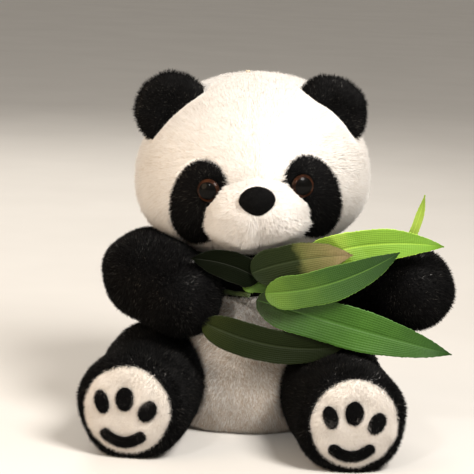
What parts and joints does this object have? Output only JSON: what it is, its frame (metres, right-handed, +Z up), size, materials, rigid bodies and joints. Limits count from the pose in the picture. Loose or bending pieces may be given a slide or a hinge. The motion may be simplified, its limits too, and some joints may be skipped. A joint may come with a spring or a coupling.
{
  "type": "plush panda",
  "caption": "Seated plush panda with a black and white pile cover, plastic safety eyes, appliqued paw pads and a sprig of fabric bamboo leaves in its paw.",
  "frame": {"origin": "centre of the flat base panel that the panda sits on, at the supporting surface", "axes": "+Z up; the panda faces -Y; +X is the panda's own left"},
  "size_m": [0.1818, 0.1471, 0.1837],
  "materials": {
    "white_plush": "short cream-white plush pile",
    "black_plush": "short black plush pile",
    "sole_plush": "clipped cream-white plush pile",
    "pad_plush": "clipped black plush pile",
    "base_cloth": "woven base cloth",
    "stuffing": "polyester fibre filling",
    "bean_bag_cloth": "woven cotton bag of plastic beans",
    "nose_flock": "black flock on a moulded nose",
    "eye_plastic": "polished, black pupil in a dark amber iris",
    "washer_plastic": "moulded",
    "white_thread": "twisted thread",
    "black_thread": "twisted thread",
    "stem_plastic": "plastic-covered wire",
    "dark_leaf": "pressed leaf cloth",
    "green_leaf": "pressed leaf cloth",
    "olive_leaf": "pressed leaf cloth",
    "bright_leaf": "pressed leaf cloth"
  },
  "bodies": {
    "torso": {"belly_cover": "white_plush", "shoulder_yoke": "black_plush", "base_panel": "base_cloth", "torso_stuffing": "stuffing", "bean_bag": "bean_bag_cloth", "tail": "white_plush"},
    "neck": {"neck_stitching": "white_thread"},
    "head": {"right_head_cover": "white_plush", "left_head_cover": "white_plush", "head_stuffing": "stuffing", "muzzle_cover": "white_plush", "muzzle_stuffing": "stuffing", "nose": "nose_flock", "nose_washer": "washer_plastic", "right_eye": "eye_plastic", "left_eye": "eye_plastic", "right_eye_washer": "washer_plastic", "left_eye_washer": "washer_plastic", "right_eye_patch": "black_plush", "left_eye_patch": "black_plush", "crown_knot": "white_thread"},
    "right_ear": {"right_ear_front": "black_plush", "right_ear_back": "black_plush"},
    "left_ear": {"left_ear_front": "black_plush", "left_ear_back": "black_plush"},
    "right_arm": {"right_arm_cover": "black_plush", "right_arm_stuffing": "stuffing", "sprig_stem": "stem_plastic", "paw_stitch": "black_thread", "lower_dark_leaf": "dark_leaf", "left_dark_leaf": "dark_leaf", "short_back_leaf": "green_leaf"},
    "left_arm": {"left_arm_cover": "black_plush", "left_arm_stuffing": "stuffing"},
    "leaf_fan": {"long_lower_leaf": "green_leaf", "middle_leaf": "green_leaf", "upper_dark_leaf": "olive_leaf", "bright_upper_leaf": "bright_leaf", "upright_tip_leaf": "green_leaf"},
    "right_leg": {"right_leg_cover": "black_plush", "right_leg_stuffing": "stuffing", "right_sole": "sole_plush", "right_outer_toe_pad": "pad_plush", "right_middle_toe_pad": "pad_plush", "right_inner_toe_pad": "pad_plush", "right_main_pad": "pad_plush"},
    "left_leg": {"left_leg_cover": "black_plush", "left_leg_stuffing": "stuffing", "left_sole": "sole_plush", "left_outer_toe_pad": "pad_plush", "left_middle_toe_pad": "pad_plush", "left_inner_toe_pad": "pad_plush", "left_main_pad": "pad_plush"}
  },
  "joints": [
    {"name": "neck_turn", "type": "hinge", "parent": "torso", "child": "neck", "pos_m": [0.0005, 0, 0.0891], "axis": [0, 0, 1], "range_deg": [-10, 10], "stiffness_Nm_per_rad": 0.6},
    {"name": "neck_nod", "type": "hinge", "parent": "neck", "child": "head", "pos_m": [0.0005, 0, 0.118], "axis": [-1, 0, 0], "range_deg": [-2, 10], "stiffness_Nm_per_rad": 0.8},
    {"name": "right_ear_flex", "type": "hinge", "parent": "head", "child": "right_ear", "pos_m": [-0.04018, -0.01529, 0.16228], "axis": [0.7178, 0.0226, 0.6959], "range_deg": [-12, 12], "stiffness_Nm_per_rad": 0.02},
    {"name": "left_ear_flex", "type": "hinge", "parent": "head", "child": "left_ear", "pos_m": [0.03973, -0.01277, 0.16618], "axis": [0.7745, 0.0243, -0.6321], "range_deg": [-12, 12], "stiffness_Nm_per_rad": 0.02},
    {"name": "right_shoulder", "type": "hinge", "parent": "torso", "child": "right_arm", "pos_m": [-0.042, 0.004, 0.076], "axis": [0, 0, -1], "range_deg": [0, 20], "stiffness_Nm_per_rad": 0.25},
    {"name": "left_shoulder", "type": "hinge", "parent": "torso", "child": "left_arm", "pos_m": [0.042, 0.004, 0.077], "axis": [0, 0, 1], "range_deg": [0, 20], "stiffness_Nm_per_rad": 0.25},
    {"name": "leaf_flex", "type": "hinge", "parent": "right_arm", "child": "leaf_fan", "pos_m": [0.001, -0.0535, 0.077], "axis": [0, 0, -1], "range_deg": [0, 12], "stiffness_Nm_per_rad": 0.02},
    {"name": "right_hip", "type": "hinge", "parent": "torso", "child": "right_leg", "pos_m": [-0.044, -0.022, 0.0262], "axis": [0, 0, -1], "range_deg": [0, 12], "stiffness_Nm_per_rad": 0.4},
    {"name": "left_hip", "type": "hinge", "parent": "torso", "child": "left_leg", "pos_m": [0.044, -0.022, 0.0262], "axis": [0, 0, 1], "range_deg": [0, 12], "stiffness_Nm_per_rad": 0.4}
  ]
}
